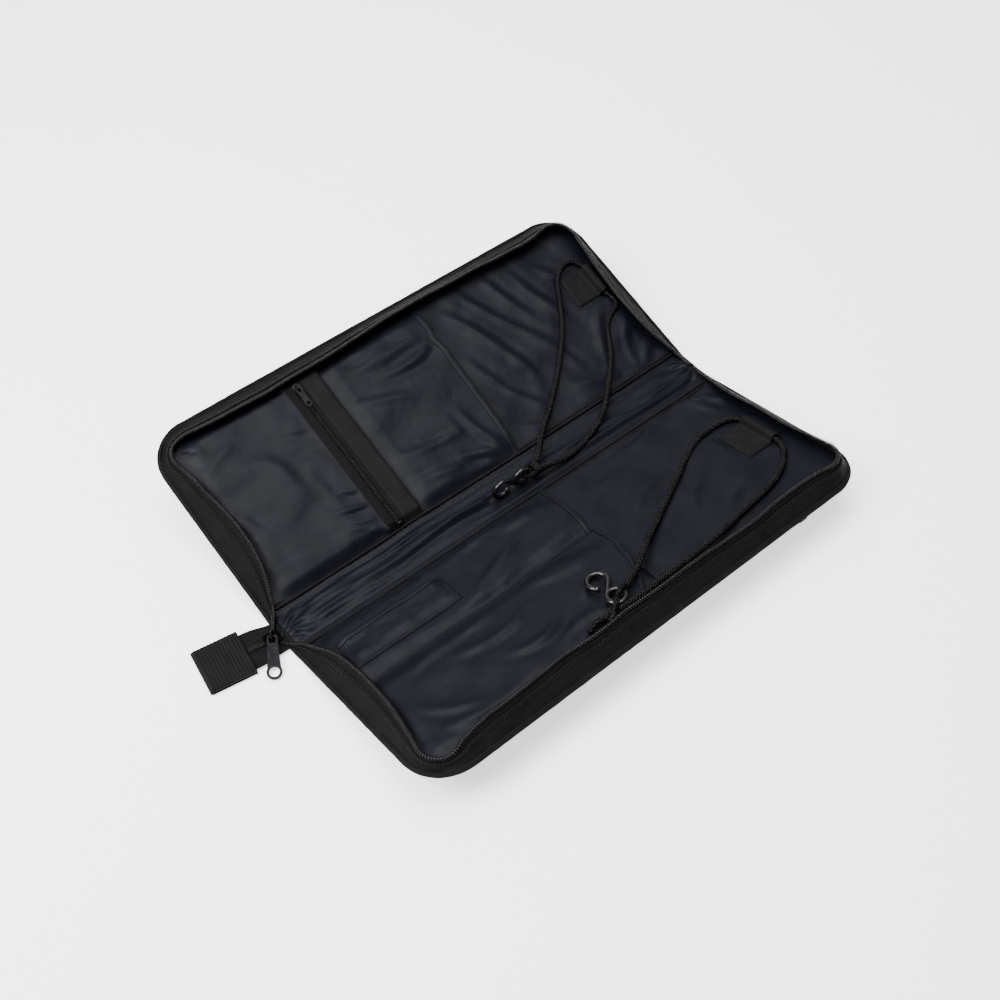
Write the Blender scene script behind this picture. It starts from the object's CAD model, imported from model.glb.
import math

import bmesh
import bpy
import numpy as np
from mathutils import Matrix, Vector


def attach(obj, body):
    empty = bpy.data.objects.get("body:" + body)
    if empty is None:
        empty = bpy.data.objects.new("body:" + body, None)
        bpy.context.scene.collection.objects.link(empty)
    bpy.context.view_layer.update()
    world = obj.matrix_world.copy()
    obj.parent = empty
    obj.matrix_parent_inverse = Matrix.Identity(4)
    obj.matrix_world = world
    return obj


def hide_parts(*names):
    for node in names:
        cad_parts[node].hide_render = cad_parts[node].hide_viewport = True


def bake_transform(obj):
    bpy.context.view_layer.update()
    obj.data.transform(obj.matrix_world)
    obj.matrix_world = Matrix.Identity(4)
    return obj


# The looks of the open drum stick bag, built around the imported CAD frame.
# Lengths here are millimetres and become metres where a mesh is made. A panel's own
# coordinates are x along the bag, out from the fold and up from the fold line.

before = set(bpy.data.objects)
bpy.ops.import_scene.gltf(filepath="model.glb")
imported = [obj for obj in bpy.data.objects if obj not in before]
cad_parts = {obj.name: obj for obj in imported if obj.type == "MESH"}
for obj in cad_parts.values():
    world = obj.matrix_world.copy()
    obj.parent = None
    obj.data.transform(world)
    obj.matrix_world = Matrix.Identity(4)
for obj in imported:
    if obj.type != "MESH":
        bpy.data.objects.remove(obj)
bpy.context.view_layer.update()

MM = 0.001
HALF_LENGTH = 232.0
PANEL_EDGE = 186.3
CORNER = 36.0
WALL_LEAN = 19.0 / 16.5
TAPE_TOP = 14.3
GUSSET_TOP = 8.6
FOLD_ACROSS = 18.0
FOLD_HEIGHT = 2.0
LINING_TOP = 1.6
SEED = 11
GROUND = 0.02 * MM


# ---------------------------------------------------------------- numbers


def smooth(t):
    """An S-curve from 0 to 1."""
    t = np.clip(t, 0.0, 1.0)
    return t * t * (3 - 2 * t)


def noise2(x, y, seed=0):
    """Smooth value noise over a plane, from -1 to 1."""
    x, y = np.asarray(x, float), np.asarray(y, float)
    xi, yi = np.floor(x).astype(np.int64), np.floor(y).astype(np.int64)
    u, v = smooth(x - xi), smooth(y - yi)

    def corner(i, j):
        h = (xi + i) * 374761393 + (yi + j) * 668265263 + (seed + SEED) * 1442695041
        h = (h ^ (h >> 13)) * 1274126177
        return ((h ^ (h >> 16)) & 0xFFFF) / 32767.5 - 1

    low = corner(0, 0) * (1 - u) + corner(1, 0) * u
    high = corner(0, 1) * (1 - u) + corner(1, 1) * u
    return low * (1 - v) + high * v


def layered(x, y, seed=0, octaves=3):
    """Value noise with finer layers added, each half as strong."""
    total = 0.0
    for level in range(octaves):
        total = total + noise2(x * 2**level, y * 2**level, seed + 17 * level) / 2**level
    return total


def run_along(line):
    """The distance run along a line of points, at each of them."""
    return np.concatenate([[0], np.cumsum(np.linalg.norm(np.diff(line, axis=0), axis=1))])


def bell(t):
    """A rounded bump, 1 in its middle, that has died away at 2."""
    return np.exp(-(t**2))


def crease(x, s, curve, height, width):
    """One fold of cloth along a curve through three points: a ridge with a dip beside it."""
    a, b, c = (np.array(p, float) for p in curve)
    t = np.linspace(0, 1, 91)[:, None]
    middle = 2 * b - (a + c) / 2
    line = (1 - t) ** 2 * a + 2 * t * (1 - t) * middle + t**2 * c
    shape = x.shape
    px, ps = x.ravel()[:, None], s.ravel()[:, None]
    gap = (px - line[:, 0]) ** 2 + (ps - line[:, 1]) ** 2
    near = gap.argmin(axis=1)
    along = np.gradient(line, axis=0)[near]
    offset = np.stack([px[:, 0] - line[near, 0], ps[:, 0] - line[near, 1]], axis=1)
    side = np.sign(along[:, 0] * offset[:, 1] - along[:, 1] * offset[:, 0])
    away = side * np.sqrt(gap[np.arange(len(near)), near])
    fade = np.sin(np.pi * np.clip(near / 90, 0.02, 0.98)) ** 0.7
    ridge = bell(away / width) - 0.45 * bell((away - 1.5 * width) / width)
    return (height * fade * ridge).reshape(shape)


# ---------------------------------------------------------------- frames


class Panel:
    """One panel: its body, and where its own coordinates lie in the row frame."""

    def __init__(self, name, tilt, side):
        self.name = name
        self.body = f"{name}_panel"
        self.side = side
        self.cos, self.sin = math.cos(math.radians(tilt)), math.sin(math.radians(tilt))
        self.normal = np.array([0.0, -side * self.sin, self.cos])
        self.outward = np.array([0.0, side * self.cos, self.sin])

    def world(self, x, out, up):
        x, out, up = np.broadcast_arrays(np.asarray(x, float), out, up)
        y = self.side * (FOLD_ACROSS + out * self.cos - up * self.sin)
        return np.stack([x, y, FOLD_HEIGHT + out * self.sin + up * self.cos], axis=-1)


BACK = Panel("back", 18.1, 1)
FRONT = Panel("front", 11.7, -1)
TAIL_TURN = math.radians(171.0)
TAIL_ALONG = np.array([math.cos(TAIL_TURN), math.sin(TAIL_TURN), 0.0])
TAIL_ACROSS = np.array([-math.sin(TAIL_TURN), math.cos(TAIL_TURN), 0.0])
TAIL_START = np.array([-HALF_LENGTH - 1.6, 0.0, 0.0])


def tail_world(x, y, z):
    """A point of the zip tail: along it, across it and up."""
    x, y, z = np.broadcast_arrays(np.asarray(x, float), y, z)
    return TAIL_START + x[..., None] * TAIL_ALONG + y[..., None] * TAIL_ACROSS + z[..., None] * [0, 0, 1.0]


def into_outline(x, s):
    """Moves points of the corner squares into the panel's rounded corners."""
    cx, cs = HALF_LENGTH - CORNER, PANEL_EDGE - CORNER
    dx, ds = np.abs(x) - cx, s - cs
    corner = (dx > 0) & (ds > 0)
    far = np.hypot(dx, ds) + 1e-9
    shrink = np.where(corner, np.maximum(dx, ds) / far, 1.0)
    new_x = np.where(corner, np.sign(x) * (cx + dx * shrink), x)
    new_s = np.where(corner, cs + ds * shrink, s)
    return new_x, new_s


# ---------------------------------------------------------------- meshes


def grid_quads(rows, cols):
    """The numbers of a grid's points, and the corners of its squares."""
    index = np.arange(rows * cols).reshape(rows, cols)
    quads = np.stack([index[:-1, :-1], index[1:, :-1], index[1:, 1:], index[:-1, 1:]], axis=-1)
    return index, [tuple(q) for q in quads.reshape(-1, 4)]


class Build:
    """Gathers closed patches, in millimetres, and makes one mesh object of them."""

    def __init__(self):
        self.points, self.faces, self.uvs, self.count = [], [], [], 0

    def add(self, points, faces, uvs):
        points = np.asarray(points, float).reshape(-1, 3)
        self.points.append(points)
        self.uvs.append(np.asarray(uvs, float).reshape(-1, 2))
        self.faces.extend(tuple(i + self.count for i in f) for f in faces)
        self.count += len(points)

    def sheet(self, top, bottom, uv):
        """A cloth of some thickness: two grids of points, closed round the edge."""
        rows, cols = top.shape[:2]
        index, quads = grid_quads(rows, cols)
        under = rows * cols
        faces = quads + [tuple(i + under for i in q[::-1]) for q in quads]
        rim = [*index[0, :], *index[1:, -1], *index[-1, -2::-1], *index[-2:0:-1, 0]]
        for a, b in zip(rim, rim[1:] + rim[:1]):
            faces.append((a, b, b + under, a + under))
        self.add(np.concatenate([top.reshape(-1, 3), bottom.reshape(-1, 3)]), faces, np.concatenate([uv, uv]))

    def layer(self, panel, x, s, top, under):
        """A cloth of a panel, between two heights over grids of its coordinates."""
        self.sheet(panel.world(x, s, top), panel.world(x, s, under), np.stack([x, s], axis=-1))

    def tube(self, rings, uv_along=None):
        """Rings of points joined into a tube with flat ends."""
        rows, sides = rings.shape[:2]
        index = np.arange(rows * sides).reshape(rows, sides)
        faces = []
        for a, b in zip(index, index[1:]):
            for j in range(sides):
                k = (j + 1) % sides
                faces.append((a[j], a[k], b[k], b[j]))
        faces += [tuple(index[0][::-1]), tuple(index[-1])]
        if uv_along is None:
            uv_along = run_along(rings.mean(axis=1))
        girth = np.linalg.norm(rings[0] - np.roll(rings[0], 1, axis=0), axis=1).sum()
        u, v = np.meshgrid(uv_along, np.linspace(0, girth, sides, endpoint=False), indexing="ij")
        self.add(rings, faces, np.stack([u, v], axis=-1))

    def make(self, name, material):
        points = np.concatenate(self.points) * MM
        points[:, 2] = np.maximum(points[:, 2], GROUND)
        uvs = np.concatenate(self.uvs)
        mesh = bpy.data.meshes.new(name)
        mesh.from_pydata(points.tolist(), [], self.faces)
        solid = bmesh.new()
        solid.from_mesh(mesh)
        bmesh.ops.recalc_face_normals(solid, faces=solid.faces)
        solid.to_mesh(mesh)
        solid.free()
        layer = mesh.uv_layers.new(name="UVMap")
        corners = np.empty(len(mesh.loops), int)
        mesh.loops.foreach_get("vertex_index", corners)
        layer.data.foreach_set("uv", uvs[corners].ravel())
        mesh.polygons.foreach_set("use_smooth", np.full(len(mesh.polygons), True))
        mesh.materials.append(material)
        obj = bpy.data.objects.new(name, mesh)
        bpy.context.scene.collection.objects.link(obj)
        return obj


def path_frames(points, up=None):
    """Tangent, side and up vectors along a line of points."""
    along = np.gradient(points, axis=0)
    along /= np.linalg.norm(along, axis=1)[:, None] + 1e-12
    if up is None:
        guide = np.array([0, 0, 1.0])
        if abs(along[0] @ guide) > 0.9:
            guide = np.array([1.0, 0, 0])
        sides = []
        side = np.cross(guide, along[0])
        for t in along:
            side = side - (side @ t) * t
            side = side / np.linalg.norm(side)
            sides.append(side)
        side = np.array(sides)
    else:
        side = np.cross(np.broadcast_to(up, along.shape), along)
        side /= np.linalg.norm(side, axis=1)[:, None] + 1e-12
    return along, side, np.cross(along, side)


def round_rings(points, radius, sides=8, up=None, flatten=1.0):
    """Rings of a round or oval section along a line of points."""
    _, side, top = path_frames(points, up)
    angle = np.linspace(0, 2 * np.pi, sides, endpoint=False)
    radius = np.broadcast_to(radius, (len(points),))[:, None, None]
    across, up = np.cos(angle)[None, :, None], np.sin(angle)[None, :, None]
    circle = across * side[:, None] + flatten * up * top[:, None]
    return points[:, None] + radius * circle


def resample(points, step):
    """The same line with evenly spaced points."""
    points = np.asarray(points, float)
    run = run_along(points)
    count = max(2, int(round(run[-1] / step)) + 1)
    at = np.linspace(0, run[-1], count)
    return np.stack([np.interp(at, run, points[:, i]) for i in range(3)], axis=1)


def stitches(build, line, up, pitch=3.2, length=2.3, radius=0.26):
    """A row of thread stitches that lie on a seam."""
    line = resample(line, 0.4)
    run = run_along(line)
    for start in np.arange(0.5, run[-1] - length, pitch):
        at = start + length * np.array([0, 0.15, 0.5, 0.85, 1])
        spots = np.stack([np.interp(at, run, line[:, i]) for i in range(3)], axis=1)
        dip = np.array([-0.35, 0.0, 0.12, 0.0, -0.35])
        spots = spots + dip[:, None] * np.asarray(up, float)
        build.tube(round_rings(spots, radius * np.array([0.6, 1, 1, 1, 0.6]), 5, up=up))


def zip_teeth(build, line, up, radius=1.5, pitch=2.3, wire=0.56, side=1.0):
    """A nylon zip's coil: one wire wound in flat turns along a line."""
    line = resample(line, pitch / 10)
    _, across, top = path_frames(line, up)
    turn = np.arange(len(line)) * 2 * np.pi / 10
    wound = line + across * (side * radius * np.cos(turn))[:, None]
    wound = wound + top * (0.72 * radius * np.sin(turn))[:, None]
    build.tube(round_rings(wound, wire, 5))


# ---------------------------------------------------------------- materials


class Shader:
    """A node material made step by step."""

    def __init__(self, name):
        self.material = bpy.data.materials.new(name)
        self.material.use_nodes = True
        self.tree = self.material.node_tree
        self.main = self.tree.nodes["Principled BSDF"]

    def feed(self, socket, value):
        """Links a node's output to a socket, or sets the socket to a value."""
        if isinstance(value, bpy.types.NodeSocket):
            self.tree.links.new(value, socket)
        else:
            socket.default_value = value

    def node(self, kind, **inputs):
        made = self.tree.nodes.new(f"ShaderNode{kind}")
        for key, value in inputs.items():
            self.feed(made.inputs[key.replace("_", " ")], value)
        return made

    def math(self, operation, a, b):
        made = self.tree.nodes.new("ShaderNodeMath")
        made.operation = operation
        self.feed(made.inputs[0], a)
        self.feed(made.inputs[1], b)
        return made.outputs[0]

    def mapped(self, source, scale):
        place = self.node("TexCoord").outputs[source]
        return self.node("Mapping", Vector=place, Scale=scale).outputs[0]

    def bands(self, vector, direction):
        wave = self.node("TexWave", Vector=vector, Scale=0.31416)
        wave.bands_direction = direction
        return wave.outputs["Fac"]

    def noise(self, vector, scale, detail=3.0, rough=0.55):
        made = self.node("TexNoise", Vector=vector, Scale=scale, Detail=detail, Roughness=rough)
        return made.outputs["Fac"]

    def tint(self, factor, dark, light):
        ramp = self.tree.nodes.new("ShaderNodeValToRGB")
        ramp.color_ramp.elements[0].color = (*dark, 1)
        ramp.color_ramp.elements[0].position = 0.3
        ramp.color_ramp.elements[1].color = (*light, 1)
        ramp.color_ramp.elements[1].position = 0.7
        self.tree.links.new(factor, ramp.inputs[0])
        self.tree.links.new(ramp.outputs[0], self.main.inputs["Base Color"])

    def rough(self, factor, low, high):
        span = self.node("MapRange", Value=factor, To_Min=low, To_Max=high)
        self.tree.links.new(span.outputs[0], self.main.inputs["Roughness"])

    def bump(self, height, strength, distance, below=None):
        made = self.node("Bump", Height=height, Strength=strength, Distance=distance * MM)
        if below is not None:
            self.tree.links.new(below, made.inputs["Normal"])
        return made.outputs[0]

    def finish(self, normal, **values):
        if normal is not None:
            self.tree.links.new(normal, self.main.inputs["Normal"])
        for key, value in values.items():
            self.main.inputs[key.replace("_", " ")].default_value = value
        return self.material


def cloth_material(name, dark, light, thread, weave, roughness, soft, sheen, specular=0.15, twill=0.0):
    """Woven cloth: crossing threads, a fine crumple, and uneven shine.

    thread is the threads' spacing in millimetres along and across.
    """
    shade = Shader(name)
    across = shade.mapped("UV", (1 / thread[0], 1 / thread[1], 1))
    if twill:
        across = shade.node("Mapping", Vector=across, Rotation=(0, 0, twill)).outputs[0]
    over, under = shade.bands(across, "X"), shade.bands(across, "Y")
    threads = shade.math("MULTIPLY", over, under)
    plain = shade.mapped("UV", (0.1, 0.1, 1))
    crumple = shade.noise(plain, 1.6, 5.0, 0.6)
    grain = shade.noise(plain, 14.0, 2.0)
    shade.tint(shade.noise(plain, 0.55, 4.0), dark, light)
    shade.rough(grain, roughness - 0.06, roughness + 0.08)
    normal = shade.bump(crumple, soft, 1.6)
    normal = shade.bump(threads, weave, 0.12, normal)
    return shade.finish(normal, Sheen_Weight=sheen, Sheen_Roughness=0.45, Specular_IOR_Level=specular)


def hard_material(name, dark, light, roughness, metallic, specular=0.5):
    """Moulded or plated parts: faint flow marks and fine wear."""
    shade = Shader(name)
    place = shade.mapped("Object", (1, 1, 1))
    broad = shade.noise(place, 175.0, 3.0)
    fine = shade.noise(place, 2800.0, 2.0)
    shade.tint(broad, dark, light)
    shade.rough(fine, roughness * 0.75, roughness * 1.35)
    normal = shade.bump(broad, 0.10, 0.15)
    normal = shade.bump(fine, 0.06, 0.05, normal)
    return shade.finish(normal, Metallic=metallic, Specular_IOR_Level=specular)


LINING = cloth_material(
    "lining_cloth", (0.0030, 0.0033, 0.0055), (0.0044, 0.0047, 0.0078), (0.5, 0.5),
    weave=0.30, roughness=0.38, soft=0.18, sheen=0.01, specular=0.08,
)
SHELL = cloth_material(
    "shell_cloth", (0.0030, 0.0030, 0.0031), (0.0046, 0.0046, 0.0046), (0.9, 0.9),
    weave=0.80, roughness=0.60, soft=0.16, sheen=0.015, specular=0.07,
)
GUSSET = cloth_material(
    "gusset_cloth", (0.0026, 0.0026, 0.0025), (0.0044, 0.0043, 0.0042), (1.1, 1.1),
    weave=0.90, roughness=0.62, soft=0.14, sheen=0.015, specular=0.06,
)
TAPE = cloth_material(
    "zip_tape_cloth", (0.0022, 0.0022, 0.0023), (0.0036, 0.0036, 0.0037), (0.8, 1.3),
    weave=0.85, roughness=0.62, soft=0.10, sheen=0.015, specular=0.06, twill=0.6,
)
WEBBING = cloth_material(
    "webbing", (0.0034, 0.0034, 0.0036), (0.0060, 0.0060, 0.0063), (1.5, 1.0),
    weave=1.00, roughness=0.60, soft=0.10, sheen=0.015, specular=0.07,
)
BINDING = cloth_material(
    "binding_tape", (0.0034, 0.0034, 0.0037), (0.0058, 0.0058, 0.0062), (0.8, 0.8),
    weave=0.85, roughness=0.60, soft=0.12, sheen=0.015, specular=0.06,
)
CORD = cloth_material(
    "cord_braid", (0.0009, 0.0009, 0.0010), (0.0018, 0.0018, 0.0019), (0.5, 0.5),
    weave=0.50, roughness=0.36, soft=0.08, sheen=0.0, specular=0.15,
)
COIL = hard_material("zip_coil", (0.0022, 0.0022, 0.0022), (0.0042, 0.0042, 0.0043), 0.26, 0.0, 0.36)
METAL = hard_material("slider_metal", (0.0030, 0.0030, 0.0034), (0.0062, 0.0062, 0.0068), 0.16, 1.0)
PLASTIC = hard_material("hook_plastic", (0.0028, 0.0028, 0.0030), (0.0046, 0.0046, 0.0048), 0.17, 0.0, 0.42)
THREAD = cloth_material(
    "seam_thread", (0.0045, 0.0045, 0.0052), (0.0080, 0.0080, 0.0090), (0.3, 0.3),
    weave=0.30, roughness=0.42, soft=0.05, sheen=0.02, specular=0.18,
)

SLOTS = {
    "lining_cloth": LINING,
    "shell_cloth": SHELL,
    "gusset_cloth": GUSSET,
    "zip_tape_cloth": TAPE,
    "webbing": WEBBING,
    "binding_tape": BINDING,
    "cord_braid": CORD,
    "zip_coil": COIL,
}


def place(obj, slot, body, *nodes, bends=False):
    """Gives a piece its slot, its body and the CAD nodes it stands for.

    A piece that bends runs from the spine on to a panel, so it follows both.
    """
    if bends:
        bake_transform(obj)
    else:
        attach(obj, body.body if isinstance(body, Panel) else body)
    if nodes:
        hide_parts(*nodes)
    return obj


def settle(made, name, slot, body, *nodes, material=None, bends=False):
    """Makes a piece, of its slot's material unless another is given, and places it."""
    return place(made.make(name, material or SLOTS[slot]), slot, body, *nodes, bends=bends)


def sew(seams, name, slot, body, bends=False):
    """Makes a piece of thread, in the slot of the cloth that it is sewn through."""
    settle(seams, name, slot, body, material=THREAD, bends=bends)


# ---------------------------------------------------------------- cloth


def grid(low, high, step):
    """Evenly spaced numbers that are at most a step apart."""
    count = max(2, int(math.ceil((high - low) / step)) + 1)
    return np.linspace(low, high, count)


def grids(first, second):
    """Two coordinates over a plane, each from its low end, high end and step."""
    return np.meshgrid(grid(*first), grid(*second), indexing="ij")


def sewn_down(x, mouth=False):
    """Which points of a cloth's grid lie on its seams: all its sides, or all but its mouth."""
    pinned = np.zeros(x.shape, bool)
    pinned[0], pinned[:, 0], pinned[:, -1] = True, True, True
    pinned[-1] |= not mouth
    return pinned


def refine(points, times):
    """A finer grid through the same points, on smooth curves."""
    for axis in (0, 1):
        padded = np.concatenate([points[:1], points, points[-1:]])
        count = len(points)
        at = np.linspace(0, count - 1, (count - 1) * times + 1)
        i = np.minimum(at.astype(int), count - 2)
        t = (at - i)[:, None, None]
        a, b, c, d = padded[i], padded[i + 1], padded[i + 2], padded[np.minimum(i + 3, count + 1)]
        cubic = (2 * a - 5 * b + 4 * c - d) * t**2 + (3 * b - a - 3 * c + d) * t**3
        points = 0.5 * (2 * b + (c - a) * t + cubic)
        points = points.transpose(1, 0, 2)
    return points


def blurred(values, passes):
    """A height grid with its small folds smoothed away."""
    for _ in range(passes):
        for axis in (0, 1):
            padded = np.concatenate([values[:1], values, values[-1:]])
            values = ((padded[:-2] + 2 * padded[1:-1] + padded[2:]) / 4).T
    return values


SIM_SCALE = 0.01
SIM_FRAMES = 14
FOLD_SHARE = 0.55


def crumpled(x, s, pinned, grow=0.02, bend=0.02, seed=0, slack=0.3):
    """Lets cloth that is cut a little too large between its seams buckle into its own folds."""
    height = 1.3 * layered(x / 26, s / 26, seed, 2)
    height = np.where(pinned, 0.0, height)
    rows, cols = x.shape
    index, quads = grid_quads(rows, cols)
    points = np.stack([x, s, height], axis=-1).reshape(-1, 3) * SIM_SCALE
    mesh = bpy.data.meshes.new("cloth_trial")
    mesh.from_pydata(points.tolist(), [], quads)
    obj = bpy.data.objects.new("cloth_trial", mesh)
    scene = bpy.context.scene
    scene.collection.objects.link(obj)
    group = obj.vertex_groups.new(name="seams")
    group.add([int(i) for i in index[pinned]], 1.0, "REPLACE")
    modifier = obj.modifiers.new("cloth", "CLOTH")
    cloth = modifier.settings
    cloth.quality = 6
    cloth.mass = 0.12
    cloth.tension_stiffness = cloth.compression_stiffness = 18
    cloth.shear_stiffness = 6
    cloth.bending_stiffness = bend
    cloth.air_damping = 2.5
    cloth.shrink_min = -grow
    cloth.vertex_group_mass = "seams"
    cloth.effector_weights.gravity = 0
    modifier.collision_settings.use_collision = False
    modifier.point_cache.frame_start = 1
    modifier.point_cache.frame_end = SIM_FRAMES
    for step in range(1, SIM_FRAMES + 1):
        scene.frame_set(step)
    final = obj.evaluated_get(bpy.context.evaluated_depsgraph_get()).data
    moved = np.empty(rows * cols * 3)
    final.vertices.foreach_get("co", moved)
    bpy.data.objects.remove(obj)
    bpy.data.meshes.remove(mesh)
    scene.frame_set(1)
    moved = moved.reshape(rows, cols, 3) / SIM_SCALE
    broad = blurred(moved[..., 2], 24)
    soft = blurred(moved[..., 2], 3)
    moved[..., 2] = slack * broad + FOLD_SHARE * (soft - broad)
    return moved


def over_floor(height, floor, soft=0.5):
    """Keeps a cloth's height over what it lies on, easing into it."""
    return floor + soft * np.logaddexp(0, (height - floor) / soft)


# Stitches' sizes: from one to the next, a stitch's length, the thread's radius.
WALL_STITCH = (3.4, 2.4, 0.24)
SEAM_STITCH = (3.0, 2.2, 0.24)
HEM_STITCH = (2.9, 2.1, 0.22)
POCKET_STITCH = (2.7, 2.0, 0.2)
TAPE_STITCH = (2.8, 2.0, 0.2)
OUTSIDE_STITCH = (3.2, 2.3, 0.22)
PATCH_STITCH = (2.7, 2.0, 0.26)
TAB_STITCH = (2.8, 2.0, 0.3)


# ---------------------------------------------------------------- panels: board, wall, zip


def stations(panel, step=2.0):
    """Round a panel's edge, from the spine's middle at the near end to that at the far end.

    Gives the base point, the inward and upward directions, the distance from the
    spine's middle along the end, and the run along the edge.
    """
    leg = grid(0, PANEL_EDGE - CORNER, step)
    turn = np.linspace(0, np.pi / 2, 26)
    side = grid(-HALF_LENGTH + CORNER, HALF_LENGTH - CORNER, step)
    cx, cs = HALF_LENGTH - CORNER, PANEL_EDGE - CORNER
    places = [(-HALF_LENGTH, s, 1.0, 0.0) for s in leg[:-1]]
    arc = [(math.cos(a), math.sin(a)) for a in turn[:-1]]
    places += [(-cx - CORNER * c, cs + CORNER * s, c, -s) for c, s in arc]
    places += [(x, PANEL_EDGE, 0.0, -1.0) for x in side[:-1]]
    places += [(cx + CORNER * s, cs + CORNER * c, -s, -c) for c, s in arc]
    places += [(HALF_LENGTH, s, -1.0, 0.0) for s in leg[::-1]]
    x, s, nx, ns = np.array(places).T
    base = panel.world(x, s, 0.0)
    inward = nx[:, None] * np.array([1.0, 0, 0]) + ns[:, None] * panel.outward
    upward = np.broadcast_to(panel.normal, base.shape).copy()
    from_middle = np.where(np.abs(nx) > 0.5, s, 400.0) + FOLD_ACROSS
    bridge = np.arange(0, FOLD_ACROSS, step)
    up = 1.0 + (bridge / FOLD_ACROSS) ** 2
    near = np.stack([np.full_like(bridge, -HALF_LENGTH), panel.side * bridge, up], axis=1)
    far = near[::-1] * [-1, 1, 1]
    ends = np.zeros((len(bridge), 3))
    near_in, far_in = ends + [1.0, 0, 0], ends + [-1.0, 0, 0]
    lean = smooth(bridge / FOLD_ACROSS)[:, None]
    up_near = (1 - lean) * np.array([0, 0, 1.0]) + lean * panel.normal
    base = np.concatenate([near, base, far])
    inward = np.concatenate([near_in, inward, far_in])
    upward = np.concatenate([up_near, upward, up_near[::-1]])
    from_middle = np.concatenate([bridge, from_middle, bridge[::-1]])
    run = run_along(base)
    return base, inward, upward, from_middle, run


def tape_height(from_middle):
    """The wall's height: low where the two panels meet, full from a hand's width on."""
    return 3.0 + (TAPE_TOP - 3.0) * smooth((from_middle - 3.0) / 62.0)


def near_pull_in(base, from_middle):
    """How far the zip is drawn out to the slider, at the near end only."""
    return np.where(base[:, 0] < 0, 1 - smooth(from_middle / 26.0), 0.0)


# Where a wall leans in (or out, when negative): run along the edge, how far, how long.
WALL_SWAY = {
    "back": [(95, 3.5, 40), (300, 2.5, 60), (470, -3.0, 70), (645, -7.0, 34), (750, 3.0, 45)],
    "front": [(100, 3.0, 40), (330, 1.5, 70), (480, -1.5, 60), (655, -8.0, 34), (745, -2.0, 40)],
}
# Where a wall has slumped: run along the edge, the height it keeps, how long.
WALL_SLUMP = {"back": (188, 0.60, 34), "front": (196, 0.45, 38)}


class Edge:
    """A panel's edge: the wall's section at every station round it."""

    def __init__(self, panel, seed):
        self.panel = panel
        self.base, self.inward, self.upward, self.middle, self.run = stations(panel)
        centre, kept, length = WALL_SLUMP[panel.name]
        slump = 1 - (1 - kept) * bell((self.run - centre) / length)
        self.top = tape_height(self.middle) * slump
        still = smooth((self.middle - 6) / 30)
        self.drawn = near_pull_in(self.base, self.middle)
        slow, quick = (noise2(self.run / long, 0 * self.run, seed + k) for long, k in ((46, 0), (15, 3)))
        self.sway = still * (0.9 * slow + 0.4 * quick)
        for centre, lean, length in WALL_SWAY[panel.name]:
            self.sway = self.sway + still * lean * bell((self.run - centre) / length)
        self.lift = still * 0.5 * noise2(self.run / 33, 0 * self.run, seed + 5)

    def at(self, height, extra=0.0):
        """World points at a share of the wall's height, extra further in."""
        n = 0.5 + (self.top - 0.5) * height + self.lift * height
        inset = WALL_LEAN * (n - 0.5) + extra + self.sway * height
        inset = inset - 9.5 * self.drawn * height
        n = n - 1.6 * self.drawn * height
        return self.base + self.inward * inset[:, None] + self.upward * n[:, None]

    def outward_face(self):
        """The direction the leaning wall faces, away from the bag's inside."""
        face = self.upward * WALL_LEAN - self.inward
        return face / np.linalg.norm(face, axis=1)[:, None]

    def band(self, low, high, thick, extra, seed, wrinkle, steps=9):
        """Closed rings of one band of the wall between two shares of its height."""
        face = self.outward_face()
        shares = np.linspace(low, high, steps)
        outer = []
        for share in shares:
            ripple = wrinkle * layered(self.run / 13, np.full_like(self.run, share * 3.1), seed, 3)
            outer.append(self.at(share, extra) + face * ripple[:, None])
        inner = [line - face * thick for line in outer]
        return np.stack(outer + inner[::-1], axis=1)


def edge_pieces(panel, seed):
    """A panel's wall, zip tape, wall seams, zip teeth and edge binding."""
    edge = Edge(panel, seed)
    name = panel.name
    face = edge.outward_face()
    split = (GUSSET_TOP - 0.5) / (TAPE_TOP - 0.5)

    cloth = Build()
    cloth.tube(edge.band(-0.06, split + 0.05, 1.5, 0.0, seed, 0.42), edge.run)
    settle(cloth, f"{name}_gusset_cloth", "gusset_cloth", panel, f"{name}_gusset", bends=True)

    tape = Build()
    tape.tube(edge.band(split - 0.10, 0.99, 0.8, 0.7, seed + 9, 0.22), edge.run)
    lip = edge.band(split - 0.02, split + 0.14, 0.7, -0.35, seed + 2, 0.18, 4)
    tape.tube(lip, edge.run)
    settle(tape, f"{name}_zip_tape_cloth", "zip_tape_cloth", panel, f"{name}_zip_tape", bends=True)

    seams = Build()
    for share, lift in ((0.06, 0.3), (split + 0.02, 0.75), (split + 0.11, 0.75), (0.86, 0.1)):
        line = edge.at(share, 0.7 if share > 0.8 else 0.0) + face * lift
        stitches(seams, line[6:-6], panel.normal, *WALL_STITCH)
    sew(seams, f"{name}_wall_stitches", "zip_tape_cloth", panel, bends=True)

    teeth = Build()
    rim = edge.at(1.0, 0.4) + edge.upward * (1.25 * (1 - 0.55 * edge.drawn))[:, None]
    rim = resample(rim, 1.0)[2:-2]
    zip_teeth(teeth, rim, panel.normal)
    teeth.tube(round_rings(rim, 0.35, 6))
    forks = ("near_coil_fork", "far_coil_fork") if panel is BACK else ()
    settle(teeth, f"{name}_zip_teeth", "zip_coil", panel, f"{name}_zip_coil", *forks, bends=True)

    binding = Build()
    line = edge.base - edge.inward * 1.0 - edge.upward * 0.7
    ripple = 1.0 + 0.07 * noise2(edge.run / 6, 0 * edge.run, seed + 21)
    binding.tube(round_rings(line, 1.75 * ripple, 12), edge.run)
    line = edge.at(0.0, 0.1) + face * 0.55
    binding.tube(round_rings(line, 0.85, 8), edge.run)
    settle(binding, f"{name}_edge_binding", "binding_tape", panel, f"{name}_piping", bends=True)


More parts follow.
